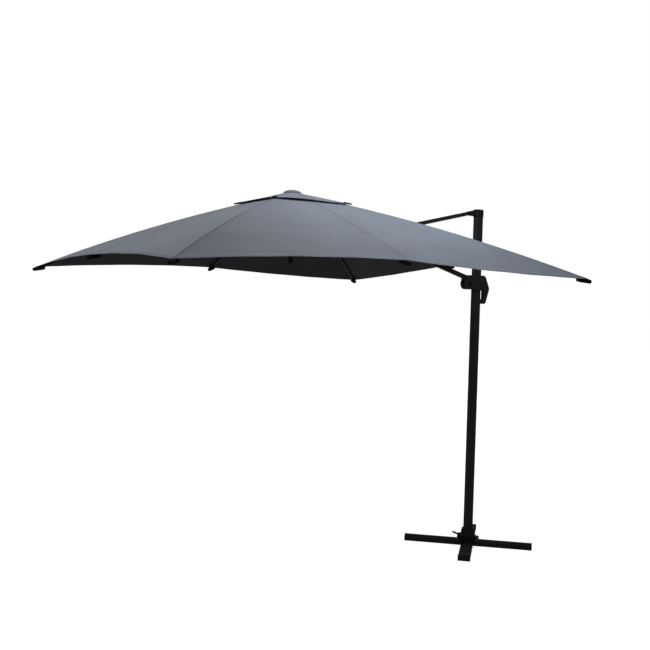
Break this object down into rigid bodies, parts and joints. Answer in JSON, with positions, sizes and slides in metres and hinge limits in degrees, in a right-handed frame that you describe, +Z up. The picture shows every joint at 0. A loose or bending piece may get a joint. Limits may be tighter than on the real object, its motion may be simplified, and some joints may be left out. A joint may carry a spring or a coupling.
{
  "type": "cantilever parasol",
  "caption": "Square cantilever parasol: vented fabric canopy on folding ribs, hung from a boom that rides a carriage on a mast over a swivelling cross base.",
  "frame": {"origin": "on the floor, on the mast's vertical swivel axis", "axes": "+Z up; the boom runs along -X to the crown; the front, with the carriage's screw heads, faces -Y"},
  "size_m": [3.5751, 2.928, 2.7289],
  "materials": {
    "black_powder_coated_steel": "satin",
    "anthracite_powder_coated_aluminium": "satin",
    "black_nylon": "matt",
    "anthracite_moulding": "matt",
    "zinc_plated_steel": "satin",
    "black_oxide_steel": "satin",
    "natural_nylon": "matt",
    "slate_polyester": "matt",
    "black_rubber": "matt"
  },
  "bodies": {
    "base": {"long_cross_bar": "black_powder_coated_steel", "half_cross_bars": "black_powder_coated_steel", "bar_end_caps": "black_nylon", "centre_plate": "black_powder_coated_steel", "base_bolts": "zinc_plated_steel", "swivel_spindle": "black_oxide_steel", "swivel_washer": "natural_nylon"},
    "mast": {"foot_collar": "black_nylon", "swivel_bush": "natural_nylon", "mast_tube": "anthracite_powder_coated_aluminium", "foot_clamp_screws": "black_oxide_steel", "mast_cap": "black_nylon", "cap_screws": "black_oxide_steel", "arm_pivot_pin": "black_oxide_steel", "pedal_pin": "zinc_plated_steel"},
    "pedal": {"foot_pedal": "black_nylon", "pedal_pad": "black_rubber"},
    "lock_pin": {"swivel_lock_pin": "zinc_plated_steel"},
    "carriage": {"carriage_front_shell": "anthracite_moulding", "carriage_back_shell": "anthracite_moulding", "carriage_bush": "natural_nylon", "carriage_screws": "black_oxide_steel", "boom_pivot_bolt": "black_oxide_steel", "squeeze_grip": "anthracite_moulding"},
    "trigger": {"grip_trigger": "black_nylon"},
    "brake": {"brake_shoe": "black_rubber"},
    "boom": {"boom_knuckle": "black_nylon", "boom_tube": "anthracite_powder_coated_aluminium", "boom_crown_fork": "black_nylon"},
    "tie_arm": {"arm_end_eye": "black_nylon", "arm_tube": "anthracite_powder_coated_aluminium", "arm_fork": "black_nylon", "arm_pivot_bolts": "black_oxide_steel"},
    "crown": {"crown_hub": "black_nylon", "crown_pivot_bolt": "black_oxide_steel", "rib_pivot_pins": "zinc_plated_steel", "crown_cap": "black_nylon", "centre_pole": "anthracite_powder_coated_aluminium", "canopy_fabric": "slate_polyester", "vent_cap_fabric": "slate_polyester"},
    "runner": {"runner": "black_nylon", "runner_knob": "black_nylon"},
    "rib_mast": {"rib_mast": "anthracite_powder_coated_aluminium"},
    "strut_mast": {"strut_mast": "anthracite_powder_coated_aluminium"},
    "rib_mast_back": {"rib_mast_back": "anthracite_powder_coated_aluminium"},
    "strut_mast_back": {"strut_mast_back": "anthracite_powder_coated_aluminium"},
    "rib_back": {"rib_back": "anthracite_powder_coated_aluminium"},
    "strut_back": {"strut_back": "anthracite_powder_coated_aluminium"},
    "rib_outer_back": {"rib_outer_back": "anthracite_powder_coated_aluminium"},
    "strut_outer_back": {"strut_outer_back": "anthracite_powder_coated_aluminium"},
    "rib_outer": {"rib_outer": "anthracite_powder_coated_aluminium"},
    "strut_outer": {"strut_outer": "anthracite_powder_coated_aluminium"},
    "rib_outer_front": {"rib_outer_front": "anthracite_powder_coated_aluminium"},
    "strut_outer_front": {"strut_outer_front": "anthracite_powder_coated_aluminium"},
    "rib_front": {"rib_front": "anthracite_powder_coated_aluminium"},
    "strut_front": {"strut_front": "anthracite_powder_coated_aluminium"},
    "rib_mast_front": {"rib_mast_front": "anthracite_powder_coated_aluminium"},
    "strut_mast_front": {"strut_mast_front": "anthracite_powder_coated_aluminium"}
  },
  "joints": [
    {"name": "mast_swivel", "type": "hinge", "parent": "base", "child": "mast", "pos_m": [0, 0, 0.062], "axis": [0, 0, 1], "continuous": true},
    {"name": "pedal_press", "type": "hinge", "parent": "mast", "child": "pedal", "pos_m": [-0.084, 0, 0.092], "axis": [0, -1, 0], "range_deg": [0, 18], "stiffness_Nm_per_rad": 1, "springref_deg": -11.46},
    {"name": "lock_pin_lift", "type": "slide", "parent": "mast", "child": "lock_pin", "axis": [0, 0, 1], "range_m": [0, 0.0067]},
    {"name": "carriage_slide", "type": "slide", "parent": "mast", "child": "carriage", "axis": [0, 0, -1], "range_m": [0, 1.3685], "deforming": ["canopy_fabric", "vent_cap_fabric"]},
    {"name": "boom_swing", "type": "hinge", "parent": "carriage", "child": "boom", "pos_m": [-0.09, 0, 2.118], "axis": [0, 1, 0], "range_deg": [0, 58]},
    {"name": "arm_swing", "type": "hinge", "parent": "mast", "child": "tie_arm", "pos_m": [-0.1, 0, 2.675], "axis": [0, 1, 0], "range_deg": [-64.28, 0]},
    {"name": "crown_level", "type": "hinge", "parent": "boom", "child": "crown", "pos_m": [-1.7, 0, 2.65999], "axis": [0, 1, 0], "range_deg": [-58, 0]},
    {"name": "runner_drop", "type": "slide", "parent": "crown", "child": "runner", "axis": [0, 0, -1], "range_m": [0, 0.569]},
    {"name": "rib_mast_fold", "type": "hinge", "parent": "crown", "child": "rib_mast", "pos_m": [-1.65, 0, 2.68], "axis": [0, 1, 0], "range_deg": [0, 58]},
    {"name": "strut_mast_swing", "type": "hinge", "parent": "rib_mast", "child": "strut_mast", "pos_m": [-1.19021, 0, 2.5555], "axis": [0, 1, 0], "range_deg": [-100.65, 0]},
    {"name": "rib_mast_back_fold", "type": "hinge", "parent": "crown", "child": "rib_mast_back", "pos_m": [-1.66464, 0.03536, 2.68], "axis": [-0.7071, 0.7071, 0], "range_deg": [0, 63.98]},
    {"name": "strut_mast_back_swing", "type": "hinge", "parent": "rib_mast_back", "child": "strut_mast_back", "pos_m": [-1.34859, 0.35141, 2.58534], "axis": [-0.7071, 0.7071, 0], "range_deg": [-106.34, 0]},
    {"name": "rib_back_fold", "type": "hinge", "parent": "crown", "child": "rib_back", "pos_m": [-1.7, 0.05, 2.68], "axis": [-1, 0, 0], "range_deg": [0, 62.11]},
    {"name": "strut_back_swing", "type": "hinge", "parent": "rib_back", "child": "strut_back", "pos_m": [-1.7, 0.49889, 2.53952], "axis": [-1, 0, 0], "range_deg": [-110.83, 0]},
    {"name": "rib_outer_back_fold", "type": "hinge", "parent": "crown", "child": "rib_outer_back", "pos_m": [-1.73536, 0.03536, 2.68], "axis": [-0.7071, -0.7071, 0], "range_deg": [0, 63.98]},
    {"name": "strut_outer_back_swing", "type": "hinge", "parent": "rib_outer_back", "child": "strut_outer_back", "pos_m": [-2.05141, 0.35141, 2.58534], "axis": [-0.7071, -0.7071, 0], "range_deg": [-106.34, 0]},
    {"name": "rib_outer_fold", "type": "hinge", "parent": "crown", "child": "rib_outer", "pos_m": [-1.75, 0, 2.68], "axis": [0, -1, 0], "range_deg": [0, 62.11]},
    {"name": "strut_outer_swing", "type": "hinge", "parent": "rib_outer", "child": "strut_outer", "pos_m": [-2.19889, 0, 2.53952], "axis": [0, -1, 0], "range_deg": [-110.83, 0]},
    {"name": "rib_outer_front_fold", "type": "hinge", "parent": "crown", "child": "rib_outer_front", "pos_m": [-1.73536, -0.03536, 2.68], "axis": [0.7071, -0.7071, 0], "range_deg": [0, 63.98]},
    {"name": "strut_outer_front_swing", "type": "hinge", "parent": "rib_outer_front", "child": "strut_outer_front", "pos_m": [-2.05141, -0.35141, 2.58534], "axis": [0.7071, -0.7071, 0], "range_deg": [-106.34, 0]},
    {"name": "rib_front_fold", "type": "hinge", "parent": "crown", "child": "rib_front", "pos_m": [-1.7, -0.05, 2.68], "axis": [1, 0, 0], "range_deg": [0, 62.11]},
    {"name": "strut_front_swing", "type": "hinge", "parent": "rib_front", "child": "strut_front", "pos_m": [-1.7, -0.49889, 2.53952], "axis": [1, 0, 0], "range_deg": [-110.83, 0]},
    {"name": "rib_mast_front_fold", "type": "hinge", "parent": "crown", "child": "rib_mast_front", "pos_m": [-1.66464, -0.03536, 2.68], "axis": [0.7071, 0.7071, 0], "range_deg": [0, 63.98]},
    {"name": "strut_mast_front_swing", "type": "hinge", "parent": "rib_mast_front", "child": "strut_mast_front", "pos_m": [-1.34859, -0.35141, 2.58534], "axis": [0.7071, 0.7071, 0], "range_deg": [-106.34, 0]},
    {"name": "trigger_squeeze", "type": "hinge", "parent": "carriage", "child": "trigger", "pos_m": [0.086, 0, 2.058], "axis": [0, -1, 0], "range_deg": [0, 10], "stiffness_Nm_per_rad": 2, "springref_deg": -11.46},
    {"name": "brake_release", "type": "slide", "parent": "carriage", "child": "brake", "axis": [1, 0, 0], "range_m": [0, 0.0016]}
  ],
  "couplings": [
    {"joint": "lock_pin_lift", "follows": "pedal_press", "m_per_rad": 0.021008},
    {"joint": "boom_swing", "follows": "carriage_slide", "rad_per_m": 0.73973},
    {"joint": "arm_swing", "follows": "carriage_slide", "rad_per_m": -0.81986},
    {"joint": "crown_level", "follows": "carriage_slide", "rad_per_m": -0.73973},
    {"joint": "runner_drop", "follows": "carriage_slide", "ratio": 0.41554},
    {"joint": "rib_mast_fold", "follows": "carriage_slide", "rad_per_m": 0.73973},
    {"joint": "strut_mast_swing", "follows": "carriage_slide", "rad_per_m": -1.2836},
    {"joint": "rib_mast_back_fold", "follows": "carriage_slide", "rad_per_m": 0.81591},
    {"joint": "strut_mast_back_swing", "follows": "carriage_slide", "rad_per_m": -1.3562},
    {"joint": "rib_back_fold", "follows": "carriage_slide", "rad_per_m": 0.79207},
    {"joint": "strut_back_swing", "follows": "carriage_slide", "rad_per_m": -1.4135},
    {"joint": "rib_outer_back_fold", "follows": "carriage_slide", "rad_per_m": 0.81591},
    {"joint": "strut_outer_back_swing", "follows": "carriage_slide", "rad_per_m": -1.3562},
    {"joint": "rib_outer_fold", "follows": "carriage_slide", "rad_per_m": 0.79207},
    {"joint": "strut_outer_swing", "follows": "carriage_slide", "rad_per_m": -1.4135},
    {"joint": "rib_outer_front_fold", "follows": "carriage_slide", "rad_per_m": 0.81591},
    {"joint": "strut_outer_front_swing", "follows": "carriage_slide", "rad_per_m": -1.3562},
    {"joint": "rib_front_fold", "follows": "carriage_slide", "rad_per_m": 0.79207},
    {"joint": "strut_front_swing", "follows": "carriage_slide", "rad_per_m": -1.4135},
    {"joint": "rib_mast_front_fold", "follows": "carriage_slide", "rad_per_m": 0.81591},
    {"joint": "strut_mast_front_swing", "follows": "carriage_slide", "rad_per_m": -1.3562},
    {"joint": "brake_release", "follows": "trigger_squeeze", "m_per_rad": 0.0085944}
  ]
}
